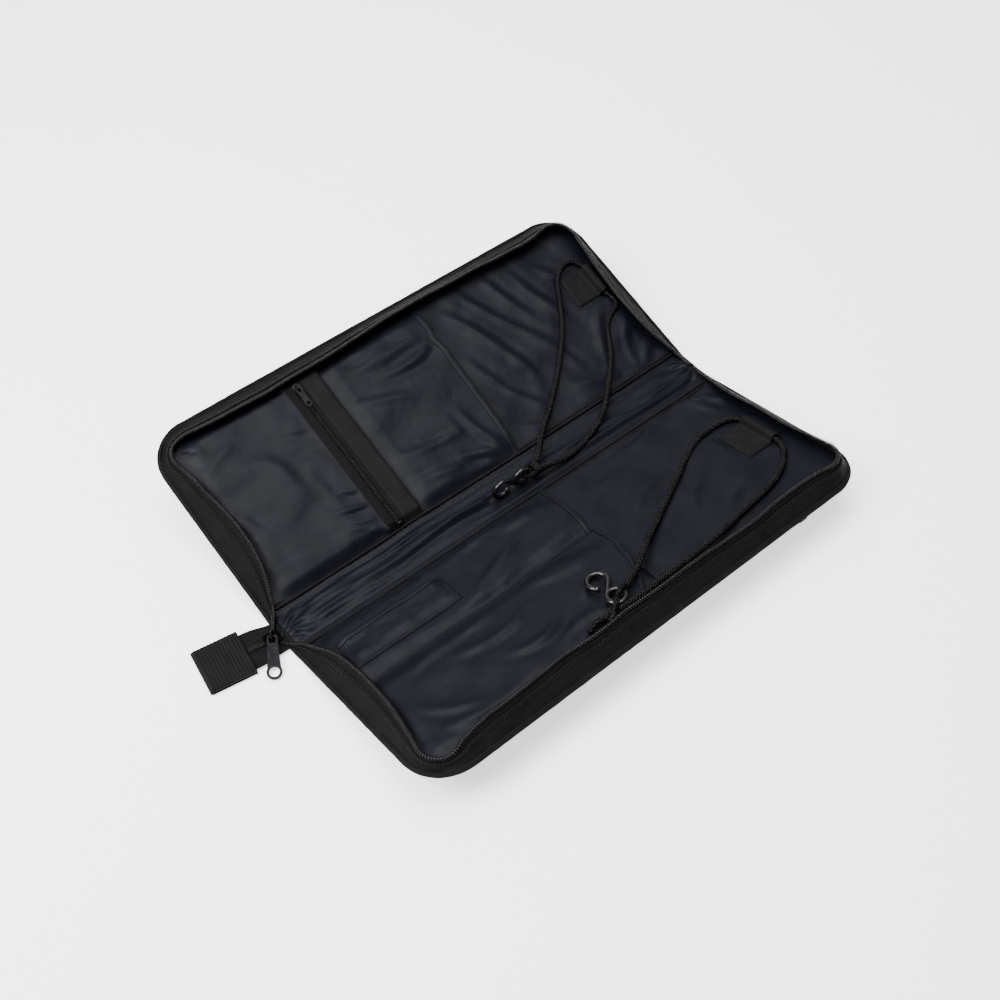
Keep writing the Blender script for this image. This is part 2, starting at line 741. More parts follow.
# Where the outer cloth ends: at the panel's ends and at its long edge.
SHELL_END, SHELL_SIDE = 231.6, 185.9


def shell_cloth(panel, seed):
    """The outer cloth over a panel's board, rounded at its rim, with a stitched border."""
    x, s = grids((-SHELL_END, SHELL_END, 4), (3.0, SHELL_SIDE, 4))
    x, s = into_outline(x, s)
    rim = np.minimum.reduce([SHELL_END - np.abs(x), SHELL_SIDE - s, s - 3.0 + 2])
    cx, cs = HALF_LENGTH - CORNER, PANEL_EDGE - CORNER
    in_corner = (np.abs(x) > cx) & (s > cs)
    rim = np.where(in_corner, CORNER - 0.4 - np.hypot(np.abs(x) - cx, s - cs), rim)
    rounding = 1 - smooth(rim / 7)
    swell = 0.35 * layered(x / 60, s / 60, seed, 3) - 0.15
    under = -1.75 - swell * smooth(rim / 12) + 1.1 * rounding**2
    channel = 0.35 * bell((rim - 5.5) / 1.1)
    top = np.full_like(x, 0.55) - 0.3 * rounding**2
    made = Build()
    made.layer(panel, x, s, top, under + channel)
    settle(made, f"{panel.name}_outer_cloth", "shell_cloth", panel, f"{panel.name}_shell")

    edge = Edge(panel, 1)
    seams = Build()
    line = edge.base + edge.inward * 5.5 - edge.upward * 1.55
    keep = edge.middle > 26
    stitches(seams, line[keep], panel.normal, *WALL_STITCH)
    sew(seams, f"{panel.name}_border_stitches", "shell_cloth", panel)


def fold_cloth(panel):
    """The cloth that joins the spine to a panel, inside and out."""
    x = grid(-230, 230, 4)
    across = np.linspace(0, 1, 13)
    begin = panel.side * np.array([0, 13.0, 0]) + [0, 0, 2.9]
    end = panel.world(0.0, 6.5, 1.7)
    x, t = np.meshgrid(x, across, indexing="ij")
    inside = (1 - t)[..., None] * begin + t[..., None] * end
    inside[..., 0] = x
    inside[..., 2] += 0.35 * noise2(x / 14, t * 4, 5) * np.sin(np.pi * t)
    begin = panel.side * np.array([0, 13.0, 0]) + [0, 0, 0.25]
    end = panel.world(0.0, 6.5, -1.75)
    outside = (1 - t)[..., None] * begin + t[..., None] * end
    outside[..., 0] = x
    outside[..., 2] += 0.7 * np.sin(np.pi * t)
    middle, uv = (inside + outside) / 2, np.stack([x, t * 14], axis=-1)
    for layer, upper, lower in (("lining", inside, middle), ("shell", middle, outside)):
        made = Build()
        made.sheet(upper, lower, uv)
        settle(made, f"{panel.name}_fold_{layer}", f"{layer}_cloth", panel, bends=True)


def seam_cord(panel, seed):
    """The raised, bound seam along the fold, a little puckered by its stitches."""
    x = grid(-224, 224, 1.5)
    pucker = noise2(x / 5, 0 * x, seed)
    out = 5.0 + 0.5 * noise2(x / 40, 0 * x, seed + 1)
    line = panel.world(x, out, 3.1 + 0.25 * pucker)
    made = Build()
    made.tube(round_rings(line, 1.2 + 0.12 * pucker, 12), x - x[0])
    flange = panel.world(x, out + 3.0, 2.5 + 0.2 * pucker)
    made.tube(round_rings(flange, 1.4, 10, up=panel.normal, flatten=0.4), x - x[0])
    settle(made, f"{panel.name}_seam_binding", "binding_tape", panel, f"{panel.name}_seam_piping")
    seams = Build()
    stitches(seams, panel.world(x, out + 3.2, 3.3 + 0.2 * pucker), panel.normal, *SEAM_STITCH)
    sew(seams, f"{panel.name}_seam_stitches", "binding_tape", panel)


# ---------------------------------------------------------------- lining

# Where the webbing patches are sewn down: x from, to; out from, to.
PATCHES = {"back": (180.5, 217.5, 92.0, 124.0), "front": (175.0, 213.0, 70.0, 108.0)}

# Folds seen in the bare lining: the curve's three points and the fold's height.
BACK_FOLDS = [
    ((58, 160), (84, 108), (100, 48), 2.4),
    ((86, 168), (106, 122), (138, 70), 2.8),
    ((116, 168), (124, 136), (136, 104), 2.4),
    ((112, 96), (130, 70), (142, 34), 1.8),
    ((142, 162), (152, 120), (166, 84), 2.0),
    ((50, 112), (66, 62), (92, 22), 2.0),
    ((168, 150), (176, 138), (184, 128), 1.6),
    ((196, 80), (176, 56), (160, 14), 2.2),
    ((214, 60), (196, 40), (186, 10), 2.0),
    ((222, 34), (206, 22), (190, 6), 1.6),
    ((120, 30), (150, 22), (200, 8), 2.0),
    ((46, 30), (70, 16), (104, 8), 1.8),
]
FRONT_FOLDS = [
    ((222, 40), (202, 22), (176, 8), 2.2),
    ((206, 46), (196, 28), (190, 8), 1.8),
    ((150, 12), (120, 22), (70, 20), 1.8),
    ((96, 130), (110, 104), (150, 86), 1.5),
    ((60, 84), (90, 70), (128, 68), 1.6),
    ((200, 120), (212, 90), (214, 56), 1.6),
    ((40, 60), (64, 40), (108, 34), 1.5),
    ((112, 140), (140, 128), (170, 124), 1.4),
]


def lining(panel, folds, seed):
    """The panel's lining: plain under the pockets, folded where it lies bare."""
    plain_x, plain_s = grids((-227, 22, 8), (3, 181, 8))
    x, s = grids((20, 227, 4.6), (3, 181, 4.6))
    moved = refine(crumpled(x, s, sewn_down(x), 0.022, 0.015, seed, 0.25), 3)
    x, s, height = moved[..., 0], moved[..., 1], moved[..., 2]
    for a, b, c, tall in folds:
        height = height + crease(x, s, (a, b, c), 0.7 * tall, 5.0)
    height = height + 0.16 * layered(x / 13, s / 13, seed + 4, 2)
    edge = np.minimum.reduce([227 - x, 181 - s, s - 3, x - 20])
    height = height * smooth(edge / 9)
    x_low, x_high, s_low, s_high = PATCHES[panel.name]
    patch = np.minimum.reduce([x - x_low, x_high - x, s - s_low, s_high - s])
    height = height * (1 - smooth((patch + 7) / 6)) - 0.6 * smooth((patch + 7) / 6)
    x, s = into_outline(x, s)
    up = over_floor(LINING_TOP + 0.9 + height, LINING_TOP, 0.35)
    made = Build()
    made.layer(panel, x, s, up, up - 0.8)
    plain_x, plain_s = into_outline(plain_x, plain_s)
    made.layer(panel, plain_x, plain_s, LINING_TOP, LINING_TOP - 0.8)
    settle(made, f"{panel.name}_lining_cloth", "lining_cloth", panel, f"{panel.name}_lining")


# ---------------------------------------------------------------- spine


HOOK_REST = 3.3  # the height of the spine's lining under the back hook, which stands on it


def spine_cloth():
    """The spine's outer cloth and its wrinkled lining."""
    board = Build()
    x, y = grids((-231.8, 231.8, 4), (-15.6, 15.6, 2.6))
    rim = 1 - smooth((15.6 - np.abs(y)) / 3)
    board.sheet(
        np.stack([x, y, 2.4 - 0.2 * rim], axis=-1),
        np.stack([x, y, 0.0 + 0.5 * rim**2], axis=-1),
        np.stack([x, y], axis=-1),
    )
    settle(board, "spine_outer_cloth", "shell_cloth", "spine", "spine_panel")
    x, y = grids((-229, 229, 1.8), (-16.6, 16.6, 0.7))
    drift = 3.0 * noise2(x / 60, 0 * x, 2)
    long_folds = 3.7 * layered(x / 95, (y + drift) / 8.5, 8, 2)
    cross_folds = 0.5 * layered(x / 26, (y + drift) / 9.0, 12, 2)
    gather = np.maximum(smooth((x - 170) / 50), smooth((-190 - x) / 30))
    rays = 1.2 * np.sin(np.arctan2(y, 236 - np.abs(x)) * 15 + 2 * noise2(x / 30, y / 30, 4))
    height = long_folds * (1 - 0.5 * gather) + cross_folds + rays * gather
    height = height * smooth((17.5 - np.abs(y)) / 8.5) * smooth((229 - np.abs(x)) / 8)
    beyond_hook = np.hypot(np.maximum(np.abs(x - 3.5) - 22, 0), np.maximum(np.abs(y + 5) - 3.6, 0))
    pressed = 1 - smooth(beyond_hook / 6)
    up = over_floor(4.6 + height, 3.1, 0.4) - 0.9 * smooth((np.abs(y) - 11) / 5)
    up = up + (HOOK_REST - up) * pressed
    made = Build()
    uv = np.stack([x, y], axis=-1)
    made.sheet(np.stack([x, y, up], axis=-1), np.stack([x, y, 0 * x + 2.5], axis=-1), uv)
    settle(made, "spine_lining_cloth", "lining_cloth", "spine", "spine_lining")


# ---------------------------------------------------------------- sleeves and pockets


def lateral(a, b, mouth, low, high, closed):
    """Grid coordinates of a sleeve: a runs from its closed end to its mouth, b outwards."""
    s = low + (high - low) * b
    return closed + (mouth(s) - closed) * a, s


def sleeve(panel, name, closed, mouth, low, high, roof, seed, folds, hem):
    """A sleeve of cloth: sewn along three sides, hemmed and a little open at its mouth.

    It runs from closed to its mouth, between low and high out from the fold, and
    stands as high as its roof. hem is the hem's width.
    """
    short = name.replace("stick_", "")
    span = abs(mouth((low + high) / 2) - closed)
    a, b = grids((0, 1, 4.2 / span), (0, 1, 4.2 / (high - low)))
    x, s = lateral(a, b, mouth, low, high, closed)
    moved = crumpled(x, s, sewn_down(x, mouth=True), 0.020, 0.015, seed, 0.22)
    fold_side, far_side = b * (high - low), (1 - b) * (high - low)
    rise = smooth(fold_side / (15 + 12 * smooth((a - 0.75) / 0.2)))
    rise = rise * smooth(far_side / 15) * smooth(a * span / 18)
    moved[..., 2] += (roof - LINING_TOP) * rise * (0.82 + 0.12 * noise2(x / 40, s / 40, seed))
    moved = refine(moved, 3)
    fine_b = np.linspace(0, 1, moved.shape[1])[None, :]
    x, s, height = moved[..., 0], moved[..., 1], moved[..., 2]
    for p, q, r, tall in folds:
        height = height + crease(x, s, (p, q, r), 0.95 * tall, 4.6)
    inside = smooth(np.minimum(fine_b, 1 - fine_b) * 16)
    height = height + 0.14 * layered(x / 11, s / 11, seed + 4, 2) * inside
    up = over_floor(LINING_TOP + 0.9 + height, LINING_TOP + 0.9, 0.3)
    made = Build()
    made.layer(panel, x, s, up, up - 0.7)
    settle(made, f"{name}_cloth", "lining_cloth", panel, name)

    rows = max(3, int(round(hem / 1.4)))
    edge_x, edge_s, edge_up = x[-rows:], s[-rows:], up[-rows:]
    away = np.sign(x[-1, 4] - x[-2, 4])
    hem_x = edge_x + away * 0.6
    across = np.linspace(0, 1, rows)[:, None]
    bulge = 0.75 + 0.35 * np.sin(np.pi * across) + 0.12 * noise2(edge_s / 5, across * 2, seed)
    made = Build()
    made.layer(panel, hem_x, edge_s, edge_up + bulge, edge_up - 1.0)
    settle(made, f"{name}_hem", "lining_cloth", panel, f"{short}_hem")
    seams = Build()
    for row, shift in ((0, 0.8), (rows - 1, -0.8)):
        line = panel.world(hem_x[row] + shift * away, edge_s[row], edge_up[row] + 0.86)
        stitches(seams, line[2:-2], panel.normal, *HEM_STITCH)
    sew(seams, f"{short}_stitches", "lining_cloth", panel)
    return x, s, up


BACK_SLEEVE_FOLDS = [
    ((30, 136), (8, 128), (-30, 132), 2.4),
    ((28, 142), (6, 146), (-24, 140), 1.4),
    ((30, 8), (8, 22), (-20, 30), 2.0),
    ((30, 6), (6, 10), (-30, 12), 1.6),
    ((32, 10), (18, 36), (12, 70), 1.6),
    ((-64, 120), (-40, 112), (-10, 100), 1.6),
    ((-58, 60), (-30, 52), (6, 50), 1.5),
    ((-62, 30), (-36, 26), (-14, 20), 1.4),
    ((-50, 150), (-30, 146), (-4, 152), 1.3),
]
INNER_FOLDS = [
    ((-96, 62), (-60, 50), (-20, 36), 1.6),
    ((-150, 66), (-110, 68), (-70, 66), 1.2),
    ((-40, 20), (-20, 24), (8, 22), 1.4),
    ((-90, 18), (-60, 14), (-30, 16), 1.3),
]
OUTER_FOLDS = [
    ((-150, 100), (-110, 110), (-70, 100), 2.2),
    ((-120, 128), (-90, 138), (-60, 128), 2.4),
    ((-190, 92), (-150, 88), (-100, 88), 1.5),
    ((-60, 84), (-30, 96), (6, 92), 1.4),
    ((-80, 150), (-50, 146), (-30, 152), 1.8),
    ((-200, 120), (-180, 140), (-150, 154), 1.6),
    ((-196, 150), (-170, 158), (-130, 160), 1.6),
    ((-40, 130), (-24, 120), (6, 112), 1.5),
]
POCKET_FOLDS = [
    ((-206, 130), (-190, 140), (-170, 146), 1.8),
    ((-212, 100), (-204, 80), (-196, 60), 1.5),
    ((-206, 160), (-200, 150), (-204, 140), 2.0),
    ((-160, 120), (-150, 100), (-146, 70), 1.3),
    ((-190, 30), (-160, 24), (-130, 20), 1.2),
    ((-136, 90), (-130, 66), (-128, 44), 1.5),
]


# Where each sleeve's mouth lies along the panel, by the distance out from the fold.
def back_mouth(s):
    return 35.5 + 6.5 * s / 165 - 2.6 * bell((s - 136) / 7)


def inner_mouth(s):
    return 23.5 - 4.5 * s / 72


def outer_mouth(s):
    return 24.0 - 6.0 * smooth((s - 97) / 22) - 15.0 * np.clip((s - 119) / 34, 0, 1.3) ** 1.4


def pockets():
    """The sleeves and the pockets that lie inside the bag."""
    sleeve(BACK, "back_sleeve", -74, back_mouth, 3.5, 174, 7.4, 31, BACK_SLEEVE_FOLDS, 6.5)
    inner = sleeve(FRONT, "inner_stick_sleeve", -221, inner_mouth, 3.5, 75.2, 7.0, 47, INNER_FOLDS, 6.0)
    sleeve(FRONT, "outer_stick_sleeve", -221, outer_mouth, 74.8, 174, 7.2, 53, OUTER_FOLDS, 6.0)
    divider = Build()
    x = grid(-216, 16, 2)
    for out in (73.6, 76.4):
        stitches(divider, FRONT.world(x, out, 3.1), FRONT.normal, *HEM_STITCH)
    sew(divider, "sleeve_divider_stitches", "lining_cloth", FRONT)
    key_pocket(inner)
    zip_pocket()


def surface_under(grid_points, x, s):
    """The height of a cloth, given as grids, at other places: the nearest grid point's."""
    gx, gs, gu = (g[::2, ::2].ravel() for g in grid_points)
    flat_x, flat_s = np.ravel(x), np.ravel(s)
    near = [((gx - px) ** 2 + (gs - ps) ** 2).argmin() for px, ps in zip(flat_x, flat_s)]
    return gu[near].reshape(np.shape(x))


def key_pocket(inner):
    """The narrow patch pocket on the inner sleeve, with its mouth towards the fold."""
    x, s = grids((-209, -105, 2.6), (27, 58.5, 2.4))
    ground = blurred(surface_under(inner, x, s), 2)
    side = np.minimum(x + 209, -105 - x)
    rise = smooth(side / 12) * (1 - smooth((s - 46) / 12))
    bulge = (2.2 + 1.6 * (1 - smooth((s - 27) / 12))) * rise
    bulge = bulge + 0.5 * layered(x / 14, s / 8, 61, 3) * rise
    up = ground + 0.9 + bulge
    x, s, up = (refine(g[..., None], 2)[..., 0] for g in (x, s, up))
    made = Build()
    made.layer(FRONT, x, s, up, up - 0.7)
    settle(made, "key_pocket_cloth", "lining_cloth", FRONT, "key_pocket")
    hem = Build()
    rows = x[:, :5]
    across = np.linspace(0, 1, 5)[None, :]
    top = up[:, :5] + 0.55 + 0.3 * np.sin(np.pi * across)
    columns = s[:, :5]
    over, under = (FRONT.world(rows, columns - 0.8, at) for at in (top, up[:, :5] - 0.9))
    hem.sheet(over, under, np.stack([rows, columns], axis=-1))
    settle(hem, "key_pocket_hem_cloth", "lining_cloth", FRONT, "key_pocket_hem")
    seams = Build()

    def at(row, column):
        return FRONT.world(x[row, column], s[row, column], up[row, column] + 0.15)

    stitches(seams, at(slice(None), 4), FRONT.normal, *POCKET_STITCH)
    for inset in (2, 4):
        along = slice(3, -inset)
        border = [at(inset, along), at(slice(inset, -inset), -inset), at(-inset, along)[::-1]]
        stitches(seams, np.concatenate(border), FRONT.normal, *POCKET_STITCH)
    sew(seams, "key_pocket_stitches", "lining_cloth", FRONT)


ZIP_X = -96.0
POCKET_TOP = 8.6


def zip_pocket():
    """The zipped pocket: its cloth, two tapes, the coil, and the woven strip beside it."""
    a, b = grids((0, 1, 4.0 / 115), (0, 1, 4.0 / 170))
    x, s = -223 + 118.0 * a, 3.5 + 171.0 * b
    moved = crumpled(x, s, sewn_down(x), 0.016, 0.02, 71, 0.22)
    side = np.minimum(b, 1 - b) * 171
    moved[..., 2] += (POCKET_TOP - 1.6 - LINING_TOP) * smooth(side / 14) * smooth(a * 118 / 24)
    moved = refine(moved, 3)
    x, s, height = moved[..., 0], moved[..., 1], moved[..., 2]
    for p, q, r, tall in POCKET_FOLDS:
        height = height + crease(x, s, (p, q, r), 0.6 * tall, 6.0)
    for k in range(9):
        foot = 10 + 8.0 * k + 3.5 * math.sin(k * 2.7) + (6 * k if k > 5 else 0)
        reach = 16 + 20 * abs(math.sin(k * 1.9))
        tall = (0.55 + 0.5 * abs(math.cos(k * 1.3))) * (1.0 if k < 6 else 0.5)
        fold = ((-103, foot), (-104 - reach * 0.6, foot + 3.0), (-104 - reach, foot + 9))
        height = height + crease(x, s, fold, tall, 2.6)
    height = height + 0.14 * layered(x / 11, s / 11, 74, 2)
    flat = POCKET_TOP - 1.4 - LINING_TOP
    height = height * smooth((x + 223) / 8) * smooth(np.minimum(s - 3.5, 174.5 - s) / 5 + 0.1)
    close = smooth(1 - (-105.5 - x) / 7)
    height = height * (1 - close) + flat * smooth(np.minimum(s - 3.5, 174.5 - s) / 6) * close
    x, s = into_outline(x, s)
    up = over_floor(LINING_TOP + 0.9 + height, LINING_TOP + 0.9, 0.3)
    made = Build()
    made.layer(BACK, x, s, up, up - 0.7)
    settle(made, "zip_pocket_cloth", "lining_cloth", BACK, "zip_pocket_panel")

    s = grid(5, 172, 1.5)
    fall = smooth(np.minimum(s - 5, 172 - s) / 8)
    level = LINING_TOP + 1.2 + (POCKET_TOP - LINING_TOP - 1.4) * fall
    for name, low, high, lift in (
        ("near", -106.5, -98.0, 0.25),
        ("far", -94.0, -88.5, 0.0),
    ):
        across = np.linspace(low, high, 9)
        tx, ts = np.meshgrid(across, s, indexing="ij")
        wave = 0.22 * noise2(ts / 7, tx / 4, 80) * np.linspace(1, 0.2, 9)[:, None]
        up = level[None, :] + lift + wave
        tape = Build()
        tape.layer(BACK, tx, ts, up, up - 0.7)
        settle(tape, f"pocket_tape_{name}", "zip_tape_cloth", BACK, f"pocket_zip_tape_{name}")
    teeth = Build()
    for side in (-1, 1):
        line = BACK.world(ZIP_X + side * 0.72, s, level + 0.35)
        zip_teeth(teeth, line[4:-4], BACK.normal, 0.95, 1.15, 0.27, side)
    settle(teeth, "pocket_zip_teeth", "zip_coil", BACK, "pocket_zip_coil")

    strip = Build()
    tx, ts = np.meshgrid(grid(-90, -71.5, 1.4), s, indexing="ij")
    curl = 1 - smooth(np.minimum(tx + 90, -71.5 - tx) / 2.2)
    up = level[None, :] + 0.45 - 0.7 * curl + 0.3 * noise2(tx / 9, ts / 24, 83)
    strip.layer(BACK, tx, ts, up, up - 1.5)
    settle(strip, "pocket_binding_strip", "webbing", BACK, "pocket_binding")
    seams = Build()
    for at, lift in ((-88.6, 0.2), (-73.4, 0.2), (-100.6, 0.3), (-103.0, 0.35), (-91.6, 0.1)):
        stitches(seams, BACK.world(0 * s + at, s, level + lift + 0.25)[4:-4], BACK.normal, *TAPE_STITCH)
    sew(seams, "pocket_zip_stitches", "zip_tape_cloth", BACK)


def outside_pocket():
    """The flat pocket on the front panel's outer face."""
    a, b = grids((0, 1, 0.01), (0, 1, 0.025))
    x, s = -221 + 374 * a, 39 + 134 * b
    side = np.minimum.reduce([b * 134, (1 - b) * 134, a * 374])
    depth = 1.2 + 6.1 * smooth(side / 13)
    depth = depth + 0.7 * layered(x / 34, s / 30, 90, 3) * smooth(side / 20)
    made = Build()
    low = np.clip(-1.9 - depth, -9.6, -2.4)
    made.layer(FRONT, x, s, low + 0.8, low)
    settle(made, "outside_pocket_cloth", "shell_cloth", FRONT, "outside_pocket")
    hem = Build()
    hem_x, hem_s = grids((150, 159, 1.5), (39, 186.5, 2))
    fall = smooth((hem_s - 39) / 13) * (1 - 0.35 * smooth((hem_s - 172) / 10))
    under = -2.2 - 6.4 * fall - 0.5 * noise2(hem_s / 9, hem_x / 9, 93)
    hem.layer(FRONT, hem_x, hem_s, np.minimum(under + 1.5, -1.7), under)
    settle(hem, "outside_pocket_hem_cloth", "shell_cloth", FRONT, "outside_pocket_hem", material=BINDING)
    seams = Build()
    for inset in (3.0, 6.0):
        left, low, high = -221 + inset, 39 + inset, 173 - inset
        line = [(150, low), (left, low), (left, high), (150, high)]
        line = resample(np.array([(px, ps, 0) for px, ps in line]), 2.0)
        reach = np.minimum.reduce([line[:, 1] - 39, 173 - line[:, 1], line[:, 0] + 221])
        under = -1.9 - 1.2 - 6.1 * smooth(reach / 13)
        stitches(seams, FRONT.world(line[:, 0], line[:, 1], under - 0.1), -FRONT.normal, *OUTSIDE_STITCH)
    sew(seams, "outside_pocket_stitches", "shell_cloth", FRONT)


# ---------------------------------------------------------------- webbing patches


def cord_patch(panel, x_low, x_high, s_low, s_high, seed):
    """A folded webbing patch, sewn down flat, with a tunnel for the cord at its far end."""
    x, s = grids((x_low, x_high, 0.5), (s_low, s_high, 1.0))
    hump_at = x_high - 7.2
    hump = 6.2 * np.exp(-(((x - hump_at) / 4.6) ** 4))
    end = smooth((x_high - x) / 1.6)
    rib = 0.22 * np.abs(np.sin(np.pi * s / 1.9))
    soft = 0.25 * noise2(x / 9, s / 9, seed)
    up = LINING_TOP + 1.9 + (hump + rib + soft) * (0.25 + 0.75 * end)
    edge = np.minimum.reduce([x - x_low, s - s_low + 0.6, s_high - s + 0.6])
    up = up - 0.8 * (1 - smooth(edge / 1.2))
    under = np.maximum(up - 1.5, LINING_TOP + 0.1)
    made = Build()
    made.sheet(panel.world(x, s, up), panel.world(x, s, under), np.stack([s, x], axis=-1))
    settle(made, f"{panel.name}_webbing_patch", "webbing", panel, f"{panel.name}_cord_anchor")
    seams = Build()
    left, right = x_low + 2.2, x_high - 13.5
    near, far = s_low + 2.4, s_high - 2.4
    lines = [
        [(left, near), (right, near), (right, far), (left, far), (left, near)],
        [(left, near), (right, far)],
        [(left, far), (right, near)],
    ]
    for line in lines:
        line = resample(np.array([(px, ps, 0.0) for px, ps in line]), 1.0)
        stitches(seams, panel.world(line[:, 0], line[:, 1], LINING_TOP + 2.25), panel.normal, *PATCH_STITCH)
    sew(seams, f"{panel.name}_patch_stitches", "webbing", panel)


# ---------------------------------------------------------------- zip tail


def tail():
    """The zip's tapes, teeth and tab beyond the spine's near end."""
    for name, side in (("left", 1), ("right", -1)):
        a, b = grids((0, 1, 0.02), (0, 1, 0.08))
        x = -3 + 49 * a
        y = side * (0.1 + (14.2 + 3.8 * smooth(a * 1.6)) * b)
        up = 2.4 + 0.35 * noise2(x / 9, y / 6, 101) * smooth(b * 3) + 0.5 * smooth(b * 2 - 1) * (1 - a)
        made = Build()
        made.sheet(tail_world(x, y, up), tail_world(x, y, up - 0.8), np.stack([x, y], axis=-1))
        settle(made, f"tail_tape_{name}_cloth", "zip_tape_cloth", "spine", f"tail_tape_{name}")
    teeth = Build()
    x = grid(-1.5, 29, 1.0)
    for side in (-1, 1):
        zip_teeth(teeth, tail_world(x, side * 0.95, 3.4 + 0 * x), [0, 0, 1.0], 1.2, 1.9, 0.42, side)
    settle(teeth, "tail_zip_teeth", "zip_coil", "spine", "tail_coil")
    seams = Build()
    for y in (-6.0, -3.6, 3.6, 6.0):
        stitches(seams, tail_world(grid(15, 29, 1), y, 2.55), [0, 0, 1.0], *TAPE_STITCH)
    sew(seams, "tail_stitches", "zip_tape_cloth", "spine")
    tab()


def tab():
    """The ribbed webbing tab, folded over the tapes' end and sewn through."""
    start, end, half = 30.0, 70.0, 21.0
    along = grid(start, end - 2.4, 0.36)
    rib = 0.62 * np.abs(np.sin(np.pi * (along - start) / 2.9)) ** 0.8
    over = np.stack([along, 5.05 + rib], axis=1)
    bow = np.linspace(np.pi / 2, -np.pi / 2, 14)[1:-1]
    outer_bow = np.stack([end - 2.4 + 2.4 * np.cos(bow), 2.55 + 2.5 * np.sin(bow)], axis=1)
    beneath = np.stack([along[::-1], 0.05 + 0.25 * (0.62 - rib[::-1])], axis=1)
    back = along[::6]
    inner_low = np.stack([back[:-3], 1.4 + 0 * back[:-3]], axis=1)
    inner_high = np.stack([back[:-3][::-1], 3.7 + 0 * back[:-3]], axis=1)
    inner_bow = np.array([(end - 3.2, 1.7), (end - 2.6, 2.55), (end - 3.2, 3.4)])
    loop = np.concatenate([over, outer_bow, beneath, inner_low, inner_bow, inner_high])
    rings = []
    for y in grid(-half, half, 1.0):
        fray = 0.12 * noise2(loop[:, 0] / 1.5, 0 * loop[:, 0] + y / 3, 110)
        edge = 0.25 * smooth((abs(y) - half + 1.5) / 1.5)
        z = loop[:, 1] + np.where(loop[:, 1] > 3.6, -edge, edge) + 0.3 * fray
        rings.append(tail_world(loop[:, 0], np.full(len(loop), y), np.maximum(z, 0.03)))
    made = Build()
    made.tube(np.array(rings))
    settle(made, "tail_tab_webbing", "webbing", "spine", "tail_tab")
    seams = Build()
    for x in (32.2, 43.6):
        stitches(seams, tail_world(x, grid(-18, 18, 1), 5.75), [0, 0, 1.0], *TAB_STITCH)
    for y in (-18.0, 18.0):
        stitches(seams, tail_world(grid(32.2, 43.6, 1), y, 5.75), [0, 0, 1.0], *TAB_STITCH)
    sew(seams, "tab_stitches", "webbing", "spine")


# ---------------------------------------------------------------- cords

BACK_LEFT_ON_PANEL = [
    (210.3, 122.0, 4.8),
    (209.0, 133.5, 5.0),
    (197.0, 137.5, 5.0),
    (181.0, 130.0, 4.8),
    (168.0, 110.0, 4.6),
    (152.0, 84.0, 4.4),
    (122.0, 53.0, 4.4),
    (88.0, 25.0, 4.8),
]
BACK_LEFT_ON_SPINE = [(58.0, 20.0, 10.5), (45.0, 6.5, 13.2), (35.8, -0.6, 14.5)]
BACK_RIGHT_ON_PANEL = [
    (210.3, 93.0, 4.8),
    (213.6, 83.5, 5.4),
    (212.0, 74.0, 5.4),
    (200.0, 70.0, 4.6),
    (188.0, 62.0, 4.4),
    (173.0, 36.0, 4.4),
    (148.0, 12.0, 6.0),
]
BACK_RIGHT_ON_SPINE = [
    (118.0, 3.0, 9.0),
    (82.0, -9.0, 7.4),
    (58.0, -11.0, 9.2),
    (44.0, -9.6, 13.4),
    (34.0, -8.6, 14.5),
]
FRONT_LEFT = [
    (205.8, 72.0, 4.8),
    (203.0, 62.0, 5.0),
    (188.0, 57.5, 4.8),
    (166.0, 57.0, 4.6),
    (146.0, 63.0, 4.4),
    (100.0, 88.0, 4.4),
    (62.0, 108.0, 5.4),
    (38.0, 122.5, 11.2),
    (18.0, 136.0, 12.8),
    (0.0, 145.0, 12.2),
    (-10.4, 147.5, 12.1),
]
FRONT_RIGHT = [
    (205.8, 106.0, 4.8),
    (205.0, 118.0, 4.9),
    (194.0, 129.0, 4.6),
    (178.0, 140.0, 4.6),
    (154.0, 147.0, 5.4),
    (122.0, 151.0, 6.4),
    (84.0, 157.0, 7.4),
    (48.0, 161.0, 10.4),
    (18.0, 162.5, 12.8),
    (-8.0, 163.5, 12.2),
    (-28.8, 162.2, 12.8),
]
CORD_RADIUS = 2.5
CARRIERS = 4
BRAID_PITCH = 12.0


def spline_points(points, step=0.8):
    """Points along a smooth spline whose control points are the route's."""
    curve = bpy.data.curves.new("cord_line", "CURVE")
    curve.dimensions = "3D"
    curve.resolution_u = 24
    spline = curve.splines.new("NURBS")
    spline.points.add(len(points) - 1)
    for spot, place in zip(spline.points, points):
        spot.co = (*(float(v) * MM for v in place), 1.0)
    spline.order_u = 3
    spline.use_endpoint_u = True
    obj = bpy.data.objects.new("cord_line", curve)
    bpy.context.scene.collection.objects.link(obj)
    line = bpy.data.meshes.new_from_object(obj)
    found = np.array([v.co for v in line.vertices]) / MM
    bpy.data.objects.remove(obj)
    bpy.data.curves.remove(curve)
    bpy.data.meshes.remove(line)
    return resample(found, step)


def braid(name, points, radius=CORD_RADIUS, pitch=BRAID_PITCH, step=0.8):
    """A round braid: strands wound both ways, over and under, on a dark core."""
    line = spline_points(points, step)
    _, side, top = path_frames(line)
    run = run_along(line)
    made = Build()
    made.tube(round_rings(line, radius * 0.60, 10), run)
    for way in (-1, 1):
        for k in range(CARRIERS):
            angle = 2 * np.pi * (k / CARRIERS) + way * 2 * np.pi * run / pitch
            weave = way * np.cos(CARRIERS * way * 2 * np.pi * run / pitch + np.pi * k)
            out = radius * (0.80 + 0.13 * weave)
            strand = line + side * (out * np.cos(angle))[:, None] + top * (out * np.sin(angle))[:, None]
            made.tube(round_rings(strand, radius * 0.32, 6, flatten=0.85), run)
    return made.make(name, CORD), line


def world_route(panel, points):
    return [panel.world(*p) for p in points]


